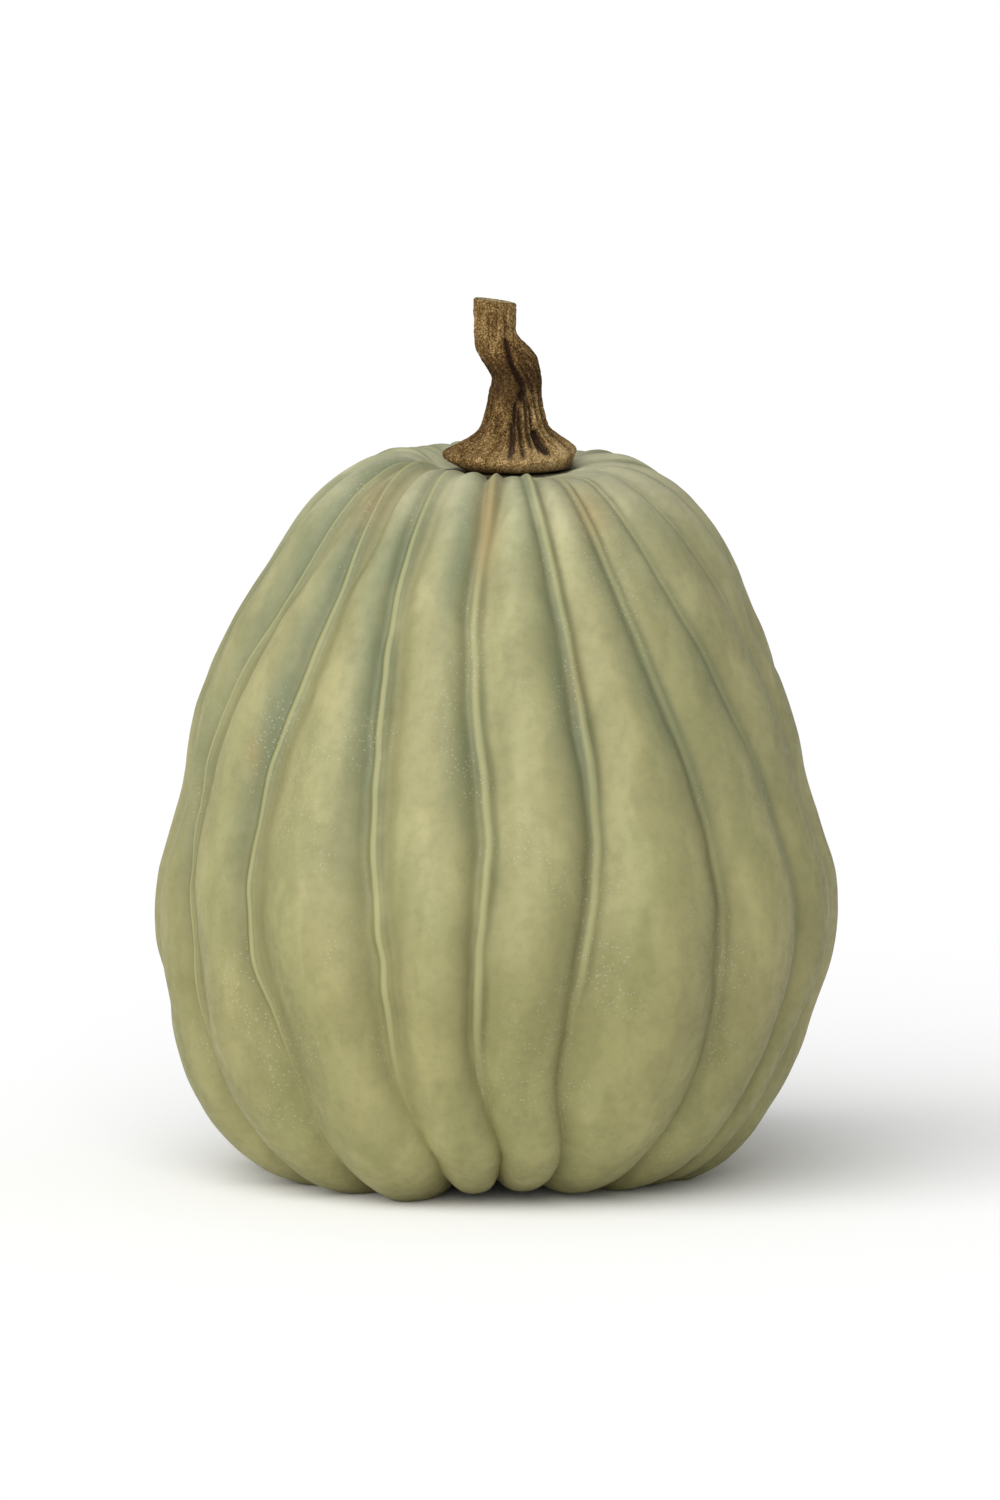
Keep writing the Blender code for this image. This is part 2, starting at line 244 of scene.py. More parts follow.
# Colours of the skin, 0 to 255, as they look in the studio's light. The ground changes
# with the height, as (share of the fruit's height, colour).
GROUND = (
    (0.0, (182, 175, 115)),
    (0.1, (192, 186, 124)),
    (0.26, (184, 177, 116)),
    (0.5, (194, 188, 130)),
    (0.78, (194, 188, 132)),
    (0.9, (205, 200, 147)),
    (0.95, (218, 213, 166)),
    (1.0, (234, 230, 188)),
)
FLANK = (152, 149, 98)
LOW_WASH = (134, 132, 80)
HIGH_WASH = (126, 140, 106)
VEIN_SHADOW = (104, 104, 66)
# An olive band right of a vein: partly the skin's own colour and partly painted shade on the side
# of the ridge turned from the light
OLIVE_BAND = (132, 130, 80)
# Pale crests on the veins: partly their own paler tone and partly painted highlight where the
# ridges catch the light
CREST = (208, 204, 144)
WARM_TAN = (190, 163, 106)
# Painted shade under the edge of the stem's foot
FOOT_SHADE_COLOUR = (58, 48, 26)
SPECKLE = (216, 216, 190)

# Noises of the skin, as (share of the scale along the height, scale, detail, roughness),
# the scale of the speckles, and the range in which most values of a noise lie
FINE_NOISE = (1.0, 190.0, 4.0, 0.65)
EDGE_NOISE = (0.3, 60.0, 4.0, 0.5)
WASH_NOISE = (0.4, 22.0, 3.0, 0.6)
CLUSTER_NOISE = (1.0, 18.0, 4.0, 0.6)
RIPPLE_NOISE = (1.0, 260.0, 3.0, 0.5)
PORE_NOISE = (1.0, 900.0, 2.0, 0.5)
SPECKLE_SCALE = 520.0
NOISE_SPAN = (0.3, 0.7)

# Broad, cloudy and fine mottles of the ground, as (noise, where they begin and end in it,
# their share, what they multiply the ground by)
MOTTLES = (
    ((0.4, 27.0, 3.0, 0.5), (0.4, 0.6), 0.9, (0.84, 0.87, 0.84)),
    ((0.35, 58.0, 3.0, 0.52), (0.44, 0.6), 1.0, (1.15, 1.15, 1.18)),
    (FINE_NOISE, (0.42, 0.66), 0.45, (0.82, 0.83, 0.84)),
)

# Where the colours beside a vein begin and end, in millimetres from its line
FLANK_REACH = (9.0, 26.0)
WASH_REACH = (8.0, 34.0)
SHADOW_START = (1.8, 3.6)
SHADOW_END = (5.5, 10.0)
BAND_START = (2.6, 4.4)
BAND_END = (6.5, 16.0)
CREST_REACH = (0.8, 2.8)

# From where to where, left to right, the olive bands fade out and the crests grow plainer
BANDS_FADE = (-48 * MM, -8 * MM)
CRESTS_FADE = (50 * MM, 90 * MM)

# How far chance moves the edges of these colours, in millimetres, and how much of that
# the edge of the painted shade round the foot takes
EDGE_CHANCE = 12.0
FOOT_SHADE_CHANCE = 0.12

# The share of each colour where it is strongest
FLANK_SHARE = 0.25
SHADOW_SHARE = 0.14
BAND_SHARE = 0.44
CREST_SHARE = 0.6
FOOT_SHADE_SHARE = 0.92
SPECKLE_SHARE = 0.52

# The wash left of a vein: its share low on the fruit and how much more it is high up,
# where it thins out in its noise, and how thin it gets there
WASH_SHARE = 0.52
WASH_RISE = 0.25
WASH_PATCHES = (0.36, 0.62)
THIN_WASH = 0.45

# The shares of the fruit's height over which the wash turns from olive to blue-green, and
# above which the painted shade round the foot sets in
WASH_TURN = (0.3, 0.72)
FOOT_SHADE_LEVELS = (0.9, 0.94)

# How much fainter the crests are beside the olive bands, and what is left of them where
# they have grown plainer
FAINT_CREST = 0.4
PLAIN_CREST = 0.35

# Speckles: their size in their cells, where their clusters begin and end in the noise, and
# how much the wash adds to that
SPECKLE_SIZE = (0.15, 0.26)
SPECKLE_CLUSTERS = (0.5, 0.66)
SPECKLE_WASH = 0.12

# Where the painted shade round the foot ends, in millimetres from the foot's middle
FOOT_SHADE_REACH = (30.3, 34.0)

# Gloss of the skin, and its relief as (strength, distance)
SKIN_ROUGHNESS = (0.5, 0.66)
SKIN_SPECULAR = 0.35
RIPPLE_BUMP = (0.25, 0.4 * MM)
PORE_BUMP = (0.15, 0.12 * MM)

# Stem: rings from the foot up, as (height, middle x, middle y, half width, half depth)
# in millimetres
STEM_RINGS = (
    (317.4, 7.2, 0, 28.6, 27.2),
    (319.2, 7.2, 0, 29.2, 27.6),
    (321.2, 7.3, 0, 28.0, 26.0),
    (323.2, 7.9, 0, 25.0, 23.0),
    (326.0, 8.3, 0, 20.6, 19.6),
    (329.5, 8.6, 0, 17.2, 16.8),
    (334.0, 8.5, 0, 15.0, 14.6),
    (340.0, 8.5, 0, 13.3, 13.0),
    (348.5, 8.7, 0, 11.6, 11.4),
    (355.0, 9.4, 0, 10.8, 10.8),
    (360.0, 7.6, 0, 11.8, 11.2),
    (365.5, 4.8, 0, 12.6, 11.4),
    (369.5, 2.6, 0, 11.5, 10.6),
    (373.0, 0.8, 0, 9.8, 9.8),
    (381.0, 0.1, 0, 9.2, 9.4),
    (389.0, -0.1, 0, 9.2, 9.2),
)

# The foot stands on the seat with this gap, on a flat sole of this radius, and its lower
# edge reaches this share of its rim. Then the rows and columns of the bark's grid.
STEM_GAP = 0.3 * MM
STEM_SOLE_RADIUS = 20 * MM
EDGE_SHARE = 0.95
STEM_ROWS = 210
STEM_COLUMNS = 288

# Round the foot, as (azimuth, height of the rim's lower edge above the seat, rise of the
# rest of the rim) in degrees and millimetres
RIM = (
    (-180, 2.6, 1.0),
    (-135, 3.8, 1.6),
    (-90, 5.0, 2.0),
    (-45, 2.4, 0.4),
    (0, 1.9, 0.0),
    (45, 1.9, 1.0),
    (90, 2.1, 3.4),
    (135, 2.4, 2.2),
    (180, 2.6, 1.0),
)

# The heights between which the uneven rim passes into the even neck, and the toes of the
# foot, as (how many go round it, share of the radius, phase)
RIM_TOP = 324 * MM
RIM_FADE = 336 * MM
TOE_WAVES = ((3, 0.03, 1.0), (5, 0.022, 2.2), (8, 0.012, 0.4))

# The cut at the top: how far it tilts across its width, how far down the tilt reaches, how
# far its edge is rounded, and how far down the rounding reaches
CUT_TILT = 2.4 * MM
CUT_DEPTH = 8 * MM
CUT_ROUNDING = 0.9 * MM
CUT_ROUNDING_DEPTH = 1.35 * MM

# Rings of the hollowed cut at the top, as (share of the radius, how far it is sunk)
CUT_RINGS = ((0.93, 0.1 * MM), (0.75, 0.7 * MM), (0.4, 1.6 * MM), (0.1, 1.9 * MM))

# Flutes of the stem, each as its depth and half width in millimetres and its line down
# the stem as (height in millimetres, azimuth in degrees). They fade out at both ends.
FLUTES = (
    (2.8, 1.7, ((375, 32), (369, 14), (364.5, 5), (360, 0), (354.5, 7), (348, 30))),
    (1.5, 1.2, ((360, 18), (357, 24), (353, 39), (345, 50))),
    (3.4, 2.0, ((352.5, 17), (348, 18), (343, 17))),
    (1.6, 1.6, ((348, -6), (345, -4), (341, -2))),
    (2.2, 1.5, ((344, 8), (335, 9), (326, 10), (318.5, 11))),
    (2.0, 1.5, ((349, 27), (340, 25), (332, 23), (322, 22))),
    (2.5, 1.7, ((338, -5), (330, -4), (318.5, -1))),
    (4.2, 2.6, ((334, 36), (328, 36), (319.5, 38))),
    (1.3, 1.6, ((341, -38), (333, -34), (326, -30))),
    (1.8, 1.8, ((352, 75), (340, 68), (330, 70), (320, 74))),
    (2.4, 2.0, ((384, 96), (368, 104), (356, 124), (344, 112), (332, 112), (320, 116))),
    (2.0, 2.0, ((366, 150), (352, 170), (340, 160), (320, 158))),
    (2.6, 2.2, ((386, 176), (370, 186), (356, 214), (340, 200), (320, 203))),
    (2.0, 1.8, ((350, 246), (336, 244), (320, 243))),
    (2.2, 2.0, ((384, 250), (370, 258), (358, 284), (344, 272), (320, 270))),
    (1.4, 1.8, ((340, 300), (330, 298), (321, 296))),
)
FLUTE_FADE = 4 * MM

# Finer flutes that only the bark has, in the same form
FINE_FLUTES = (
    (2.4, 1.1, ((347, 1), (333, 0), (319.5, 0))),
    (2.2, 1.0, ((346, 33), (338, 34), (329, 30), (320, 28))),
    (1.2, 0.9, ((336, -14), (328, -14), (320, -13))),
    (1.2, 0.9, ((340, -24), (330, -22), (322, -20))),
    (1.4, 1.0, ((350, 48), (338, 50), (326, 52), (321, 54))),
    (1.3, 0.9, ((372, 24), (366, 34), (358, 44), (350, 56))),
    (1.3, 0.8, ((368, 46), (361, 58), (354, 68), (347, 74))),
    (1.2, 0.8, ((364, 16), (359, 22), (353, 30), (348, 36))),
    (1.0, 0.8, ((386, 30), (378, 32), (370, 26))),
    (0.8, 0.8, ((387, -20), (379, -18), (372, -22))),
)

# Fibres of the bark: how far they turn round the neck, in degrees and between which
# heights, how many there are round it and how high they stand, their form, and how far
# apart the chance values of the two kinds are read. Then the grain's size and depth.
TWIST = 35
TWIST_HEIGHTS = (346 * MM, 372 * MM)
FIBRES = ((34, 0.34 * MM), (78, 0.17 * MM))
FIBRE_LENGTH = 14 * MM
FIBRE_SHARPNESS = 0.7
FIBRE_CHANCE_STEP = 5.0
GRAIN_SIZE = 1.6 * MM
GRAIN_DEPTH = 0.22 * MM

# Colours of the bark, from the grooves between its fibres up to their dry golden tips, as
# (share, colour), and those of the bend, of the crevices and of the cut wood
BARK = (
    (0.0, (56, 34, 8)),
    (0.25, (90, 62, 24)),
    (0.5, (136, 104, 56)),
    (0.75, (180, 148, 96)),
    (1.0, (236, 204, 146)),
)
BEND_SHADE = (48, 30, 6)
CREVICE = (44, 24, 14)
DARK_WOOD = (128, 104, 60)
PALE_WOOD = (232, 212, 158)

# Noises of the bark, in the same form as the skin's, how much each of them and the fibres'
# relief say about where the golden paint has caught, and the range from bare to gilt
GRAIN_NOISE = (1.0, 1300.0, 3.0, 0.7)
STREAK_NOISE = (0.16, 620.0, 4.0, 0.6)
BLOTCH_NOISE = (1.0, 160.0, 3.0, 0.6)
RELIEF_WEIGHT = 0.55
STREAK_WEIGHT = 1.0
GRAIN_WEIGHT = 3.8
BLOTCH_WEIGHT = 1.0
GILT_SPAN = (-1.0, 1.25)

# More of the paint on the foot, most on its right, with the heights over which this ends
# and the places from left to right over which it grows
FOOT_GILT = (0.2, 0.72)
FOOT_GILT_HEIGHTS = (320 * MM, 334 * MM)
FOOT_GILT_PLACES = (-15 * MM, 25 * MM)

# And on the right of the neck, with the heights over which this starts and ends
NECK_GILT = 0.35
NECK_GILT_START = (324 * MM, 336 * MM)
NECK_GILT_END = (342 * MM, 358 * MM)
NECK_GILT_PLACES = (8 * MM, 18 * MM)

# Less of it under the bend and more at the top
TOP_GILT = (-0.15, 0.14)
TOP_GILT_HEIGHTS = (362 * MM, 378 * MM)

# The shade on the neck under the bend: its share, and the heights over which it starts and
# ends
BEND_SHARE = 0.55
BEND_START = (336 * MM, 352 * MM)
BEND_END = (355 * MM, 368 * MM)

# The dark in the flutes: the depths in millimetres over which it sets in, its share, and how
# far streaks and grains move its edge
CREVICE_DEPTHS = (0.2, 2.5)
CREVICE_SHARE = 0.92
CREVICE_STREAKS = 2.2
CREVICE_GRAINS = -1.6

# The wood on the cut: its share, and where its grain turns from dark to pale
WOOD_SHARE = 0.9
WOOD_SPAN = (0.35, 0.65)

# Gloss of the bark, and its relief as (strength, distance)
BARK_ROUGHNESS = (0.7, 0.92)
BARK_SPECULAR = 0.12
STREAK_BUMP = (0.4, 0.4 * MM)
GRAIN_BUMP = (0.7, 0.35 * MM)

# Floor: half its side in metres, its grey and its gloss
FLOOR_REACH = 30.0
FLOOR_GREY = 0.95
FLOOR_ROUGHNESS = 0.9
FLOOR_SPECULAR = 0.1

# Light: a bright room all round and one broad soft lamp, high in front on the left, whose
# softness is in degrees
ROOM_LIGHT = 0.47
KEY_AZIMUTH = -30
KEY_ELEVATION = 32
KEY_SOFTNESS = 85
KEY_POWER = 3.6
KEY_DISTANCE = 3

# How bright this light makes a white surface that faces it
STUDIO_LIGHT = 1.92

# Camera: how far it stands from its target in metres, how many degrees above it, the size
# of a pixel of the picture at the target, the picture's height in pixels, and the sensor's
# in millimetres
CAMERA_DISTANCE = 5.0
CAMERA_ELEVATION = 6.5
CAMERA_TARGET = (2.2 * MM, 0.0, 189.6 * MM)
PIXEL_SIZE = 0.4425 * MM
IMAGE_HEIGHT = 1500
SENSOR = 36.0


def smooth_values(knots, values, places):
    """A smooth curve through the values, read at the places. The ends are held level."""
    knots = np.asarray(knots, float)
    values = np.asarray(values, float)
    places = np.clip(places, knots[0], knots[-1])
    slopes = np.gradient(values, knots, axis=0)
    left = np.clip(np.searchsorted(knots, places, side="right") - 1, 0, len(knots) - 2)
    gap = knots[left + 1] - knots[left]
    t = (places - knots[left]) / gap
    if values.ndim == 2:
        t = t[:, None]
        gap = gap[:, None]
    return (
        (2 * t**3 - 3 * t**2 + 1) * values[left]
        + (t**3 - 2 * t**2 + t) * gap * slopes[left]
        + (3 * t**2 - 2 * t**3) * values[left + 1]
        + (t**3 - t**2) * gap * slopes[left + 1]
    )


def smooth_step(value, start=0.0, end=1.0):
    """0 up to the start, 1 from the end on, and a smooth rise between them."""
    share = np.clip((value - start) / (end - start), 0.0, 1.0)
    return share * share * (3 - 2 * share)


def bell(distance, width):
    """A smooth bump: 1 in its middle, and about a third a width away from it."""
    return np.exp(-((distance / width) ** 2))


def turn(azimuth, bearing):
    """How far an azimuth lies round from a bearing, from -180 to 180 degrees."""
    return (azimuth - bearing + 180) % 360 - 180


def patch_total(patches, azimuth, height, radius):
    """What the smooth patches add up to at each point of the skin."""
    total = np.zeros_like(azimuth)
    for bearing, level, half_width, half_height, amount in patches:
        aside = bell(np.radians(turn(azimuth, bearing)) * radius, half_width * MM)
        above = bell(height - level * MM, half_height * MM)
        total += amount * aside * above
    return total


def outline_stations(rows):
    """Radius, height, groove depth and outward normal at even steps down the outline."""
    points = np.array(FRUIT_OUTLINE) * MM
    chords = np.hypot(*np.diff(points[:, :2], axis=0).T)
    knots = np.concatenate(([0.0], np.cumsum(chords)))
    places = np.linspace(0.0, knots[-1], rows)
    curve = smooth_values(knots, points, places)
    ahead = smooth_values(knots, points, np.minimum(places + SLOPE_STEP, knots[-1]))
    behind = smooth_values(knots, points, np.maximum(places - SLOPE_STEP, 0.0))
    run = (ahead - behind)[:, :2]
    run /= np.hypot(run[:, 0], run[:, 1])[:, None]
    normal = np.stack([-run[:, 1], run[:, 0]], axis=1)
    return places / knots[-1], curve, normal


def groove_azimuths(heights):
    """Azimuth in degrees of every groove at each height, one row a height."""
    chance = random.Random(SEED)
    grooves = [list(line) for line in FRONT_GROOVES]
    first = FRONT_GROOVES[-1]
    last = [azimuth + 360 for azimuth in FRONT_GROOVES[0]]
    for number in range(1, BACK_GROOVE_COUNT + 1):
        share = number / (BACK_GROOVE_COUNT + 1)
        shift = chance.uniform(-BACK_GROOVE_SPREAD, BACK_GROOVE_SPREAD)
        line = []
        for start, end in zip(first, last):
            sway = chance.uniform(-BACK_GROOVE_SWAY, BACK_GROOVE_SWAY)
            line.append(start + (end - start) * share + shift + sway)
        grooves.append(line)
    knots = np.array(GROOVE_HEIGHTS[::-1]) * MM
    table = np.array(grooves).T[::-1]
    return smooth_values(knots, table, heights)


def groove_reading_heights(curve):
    """Heights for reading the grooves: they run straight on inside the top and base rings."""
    heights = curve[:, 1].copy()
    top_ring = np.argmax(heights)
    heights[:top_ring] = heights[top_ring]
    low_ring = np.argmin(heights)
    heights[low_ring:] = heights[low_ring]
    return heights


def vein_widths(pitch):
    """Half widths of the veins at a lobe's left and right: narrower where lobes are."""
    squeeze = 1 - np.exp(-pitch / VEIN_PITCH)
    return LEFT_VEIN_WIDTH * squeeze, RIGHT_VEIN_WIDTH * squeeze


def vein_strength(radius, height):
    """How far the veins are raised, from 0 to 1."""
    return smooth_step(radius, *VEIN_START_RADII) * smooth_step(height, *VEIN_END_HEIGHTS)


def chance_lines(heights, count, length, offset):
    """Smooth chance values about 0, one row a height and one column a groove."""
    return np.array([
        [
            noise.noise(Vector((GROOVE_CHANCE_STEP * groove, height / length, offset)))
            for groove in range(count)
        ]
        for height in heights.tolist()
    ])


def calm(azimuth, height):
    """The share of their height that grooves and veins keep at each place."""
    aside = bell(turn(azimuth, CALM_MIDDLE[0]), CALM_REACH[0])
    above = bell(height - CALM_MIDDLE[1], CALM_REACH[1])
    return 1 - CALM_SHARE * aside * above


def short_vein_share(azimuth, height):
    """The share of their height that veins keep where one of them runs out early."""
    beside = bell(turn(azimuth, SHORT_VEIN_MIDDLE), SHORT_VEIN_WIDTH)
    below = 1 - smooth_step(height, *SHORT_VEIN_HEIGHTS)
    return 1 - SHORT_VEIN_SHARE * beside * below


def low_vein_share(azimuth):
    """The share of their height that veins keep on the right."""
    return 1 - LOW_VEIN_SHARE * bell(turn(azimuth, LOW_VEIN_MIDDLE), LOW_VEIN_WIDTH)


def lobe_section(share, pitch, depth, strength):
    """How far the surface lies under the crest, across one lobe from groove to groove."""
    left_vein, right_vein = vein_widths(pitch)
    from_left = share * pitch
    from_right = (1 - share) * pitch
    left_floor = LEFT_FLOOR * left_vein * strength
    right_floor = RIGHT_FLOOR * right_vein * strength
    across = 2 * (from_left - left_floor) / (pitch - left_floor - right_floor) - 1
    edge = np.where(across < 0, LEFT_EDGE, RIGHT_EDGE)
    step = depth * (1 - LEFT_DEPTH_SHARE) * strength
    floor = depth - np.where(across < 0, step, 0.0)
    lobe = floor * ((1 - edge) * across**2 + edge * across**6)
    ridge = VEIN_HEIGHT * strength
    valley = floor + (step / 2 - ridge) * bell(from_left, left_vein)
    valley -= (step / 2 + ridge) * bell(from_right, right_vein)
    softness = LEFT_SOFTNESS + (RIGHT_SOFTNESS - LEFT_SOFTNESS) * share
    blend = np.maximum(softness * depth, LEAST_BLEND)
    return -blend * np.log(np.exp(-lobe / blend) + np.exp(-valley / blend))


def column_shares(pitch):
    """Places across a lobe, close together on and beside the veins, one row a pitch."""
    halves = []
    for vein in vein_widths(pitch):
        near = (vein / pitch)[:, None] * np.array(VEIN_STEPS)
        rising = near[:, -1:] + (0.5 - near[:, -1:]) * np.array(LOBE_STEPS)
        halves.append(np.concatenate((np.zeros((len(pitch), 1)), near, rising), axis=1))
    left, right = halves
    return np.concatenate((left, 1 - right[:, -2:0:-1]), axis=1)


def uneven(points, layers):
    """Height of the bumps on the skin at each point."""
    heights = np.zeros(len(points))
    for number, (depth, size) in enumerate(layers):
        offset = Vector((WAVE_CHANCE[0] * number, *WAVE_CHANCE[1:]))
        heights += depth * np.array(
            [noise.noise(Vector(point) / size + offset) for point in points.tolist()]
        )
    return heights


def grid_faces(rows, columns):
    """Quads of a grid that closes round on itself, with a cap at each end."""
    here = np.arange(rows * columns).reshape(rows, columns)
    there = np.roll(here, -1, axis=1)
    quads = np.stack([here[:-1], here[1:], there[1:], there[:-1]], axis=-1).reshape(-1, 4)
    caps = [here[0].tolist(), here[-1][::-1].tolist()]
    return quads.tolist() + caps


def grid_normals(points):
    """Outward normals of a closed grid of points, shaped rows by columns by 3."""
    down = np.gradient(points, axis=0)
    round_it = np.roll(points, -1, axis=1) - np.roll(points, 1, axis=1)
    normals = np.cross(down, round_it)
    return normals / np.maximum(np.linalg.norm(normals, axis=2, keepdims=True), 1e-12)


def make_grid_object(name, points, attributes, material):
    """A smooth closed mesh through a grid of points, with a number for each point."""
    rows, columns = points.shape[:2]
    mesh = bpy.data.meshes.new(name)
    mesh.from_pydata(points.reshape(-1, 3).tolist(), [], grid_faces(rows, columns))
    for label, values in attributes.items():
        layer = mesh.attributes.new(label, "FLOAT", "POINT")
        layer.data.foreach_set("value", np.ravel(values).astype(np.float32))
    mesh.materials.append(material)
    mesh.shade_smooth()
    mesh.update()
    thing = bpy.data.objects.new(name, mesh)
    bpy.context.scene.collection.objects.link(thing)
    return thing


def groove_lines(curve):
    """Azimuth of each groove and change of its vein's height, one row a ring.

    The first groove comes once more at the end, a full turn on."""
    height = curve[:, 1]
    azimuths = groove_azimuths(groove_reading_heights(curve))
    count = azimuths.shape[1]
    azimuths = azimuths + WAVER * chance_lines(height, count, WAVER_LENGTH, WAVER_CHANCE)
    change = chance_lines(height, count, VEIN_CHANGE_LENGTH, VEIN_CHANGE_CHANCE)
    change = 1 + VEIN_CHANGE * change
    azimuths = np.concatenate((azimuths, azimuths[:, :1] + 360), axis=1)
    change = np.concatenate((change, change[:, :1]), axis=1)
    return azimuths, change


def lobe_columns(curve):
    """Five numbers for each point of the fruit's grid.

    They are its share of the way across its lobe, the lobe's width in degrees and in metres,
    the point's azimuth, and the change of the veins' height there."""
    lines, change = groove_lines(curve)
    radius = curve[:, :1]
    lobes = []
    for lobe in range(lines.shape[1] - 1):
        start = lines[:, lobe, None]
        width = lines[:, lobe + 1, None] - start
        pitch = np.radians(width) * radius
        share = column_shares(pitch[:, 0])
        changed = change[:, lobe, None] * (1 - share) + change[:, lobe + 1, None] * share
        lobes.append(np.broadcast_arrays(share, width, pitch, start + share * width, changed))
    return [np.concatenate(columns, axis=1) for columns in zip(*lobes)]


def foot_surround(across, forward, level, azimuth):
    """How deep the skin dips round the foot, and how far out each point counts for the painted
    shade under its edge.
    """
    from_foot = np.hypot(across - FOOT_MIDDLE, forward)
    facing = np.cos(np.radians(azimuth - DIP_AZIMUTH))
    in_notch = bell(turn(azimuth, NOTCH_AZIMUTH), NOTCH_WIDTH)
    dip = DIP_DEPTH * bell(from_foot - DIP_RADIUS, DIP_WIDTH)
    dip *= smooth_step(facing, *DIP_FACING)
    dip *= smooth_step(level, SEAT_HEIGHT - DIP_WIDTH, SEAT_HEIGHT)
    dip += NOTCH_DEPTH * in_notch * bell(from_foot - NOTCH_RADIUS, NOTCH_LENGTH)
    shade_distance = from_foot + FOOT_SHADE_NARROWING * (1 - facing) / 2 - NOTCH_SHADE_REACH * in_notch
    return dip, shade_distance


def vein_marks(share, pitch):
    """How far each point lies from the veins, in millimetres where the lobes are broad."""
    squeeze = vein_widths(pitch)[0] / LEFT_VEIN_WIDTH
    from_left = share * pitch / squeeze / MM
    from_right = pitch / squeeze / MM - from_left
    return {
        "vein": np.minimum(from_left, from_right),
        "left_flank": np.minimum(from_left, FLANK_CUT * from_right),
        "right_flank": np.minimum(FLANK_CUT * from_left, from_right),
    }


def fruit_grid():
    """Points of the fruit's fine skin, the grooves' depth, and what its colours follow."""
    stations, curve, normal = outline_stations(FRUIT_ROWS)
    radius, height, depth = (column[:, None] for column in curve.T)
    share, width, pitch, azimuth, change = lobe_columns(curve)
    lobe_count = len(FRONT_GROOVES) + BACK_GROOVE_COUNT

    kept = calm(azimuth, height)
    raised = vein_strength(radius, height) * kept * short_vein_share(azimuth, height)
    veins = raised * change * low_vein_share(azimuth)
    swell = np.sqrt(np.sin(math.pi * stations))[:, None]
    fullness = FULLNESS_PER_DEGREE * (width - 360 / lobe_count) * swell
    sink = lobe_section(share, pitch, depth * kept, veins)
    sink -= fullness * np.sin(math.pi * share) ** 2
    in_reach = smooth_step(radius, *SWELL_RADII)
    sink -= patch_total(SWELLS, azimuth, height, radius) * MM * in_reach

    angle = np.radians(azimuth)
    reach = radius - normal[:, :1] * sink
    shift_table = np.array(AXIS_SHIFT) * MM
    across = smooth_values(shift_table[:, 0], shift_table[:, 1], height) + reach * np.sin(angle)
    forward = -reach * np.cos(angle)
    rise = TOP_RISE * smooth_step(radius, *TOP_RISE_RADII) * smooth_step(height, *TOP_RISE_HEIGHTS)
    level = height - normal[:, 1:] * sink
    level += rise * (1 + np.cos(angle - math.radians(TOP_RISE_AZIMUTH))) / 2
    dip, shade_distance = foot_surround(across, forward, level, azimuth)
    points = np.stack((across, forward, level - dip * in_reach), axis=-1)

    marks = vein_marks(share, pitch)
    marks["raised"] = raised
    marks["warm"] = patch_total(WARM_PLACES, azimuth, height, radius)
    marks["deep"] = patch_total(DEEP_TINT_AND_SHADE_PLACES, azimuth, height, radius)
    marks["seat"] = shade_distance / MM
    return points, depth, marks


def make_fruit(material):
    """The fruit's skin, with its fine waves, flat where it rests."""
    points, depth, marks = fruit_grid()
    bumps = uneven(points.reshape(-1, 3), SKIN_WAVES).reshape(points.shape[:2])
    fade = smooth_step(depth, 0.0, WAVES_FROM_DEPTH)
    points = points + grid_normals(points) * (bumps * fade)[..., None]
    points[..., 2] = np.maximum(points[..., 2], 0.0)
    return make_grid_object("fruit_skin", points, marks, material)


def rim_levels(azimuth):
    """Height of the rim's lower edge above the seat and rise of its upper side."""
    table = np.array(RIM)
    values = smooth_values(table[:, 0], table, turn(azimuth, 0))
    return values[:, 1] * MM, values[:, 2] * MM


def toe_reach(azimuth):
    """How the foot's toes lengthen or shorten its radius, as a factor."""
    return 1 + sum(
        share * np.sin(np.radians(count * azimuth) + phase)
        for count, share, phase in TOE_WAVES
    )


def flute_cut(azimuth, height, radius):
    """How deep the flutes cut into the stem at each azimuth in degrees, at a height."""
    cut = np.zeros_like(azimuth)
    for depth, width, line in FLUTES + FINE_FLUTES:
        levels = np.array([level for level, _ in reversed(line)]) * MM
        bearings = np.array([bearing for _, bearing in reversed(line)], float)
        fade = smooth_step(height, levels[0], levels[0] + FLUTE_FADE)
        fade *= smooth_step(-height, -levels[-1], -levels[-1] + FLUTE_FADE)
        apart = np.radians(turn(azimuth, smooth_values(levels, bearings, height))) * radius
        cut = np.maximum(cut, depth * MM * fade * bell(apart, width * MM))
    return cut


def fibre_relief(azimuth, height, radius):
    """Raised fibres and grain of the bark at each azimuth, at a height."""
    twist = TWIST * smooth_step(-height, -TWIST_HEIGHTS[1], -TWIST_HEIGHTS[0])
    relief = np.zeros_like(azimuth)
    for number, (count, depth) in enumerate(FIBRES):
        for index, angle in enumerate(azimuth):
            bearing = math.radians(angle - twist)
            spot = Vector((
                math.sin(bearing) * count / math.tau,
                math.cos(bearing) * count / math.tau,
                height / FIBRE_LENGTH + FIBRE_CHANCE_STEP * number,
            ))
            relief[index] += depth * (1 - 2 * abs(noise.noise(spot)) ** FIBRE_SHARPNESS)
    for index, angle in enumerate(azimuth):
        bearing = math.radians(angle)
        spot = Vector((math.sin(bearing) * radius, math.cos(bearing) * radius, height))
        relief[index] += GRAIN_DEPTH * noise.noise(spot / GRAIN_SIZE)
    return relief


def stem_ring(azimuth, across, forward, width, depth, level):
    """One ring of points round the stem."""
    angle = np.radians(azimuth)
    return np.stack((
        across + width * np.sin(angle),
        forward - depth * np.cos(angle),
        level + np.zeros_like(angle),
    ), axis=-1)


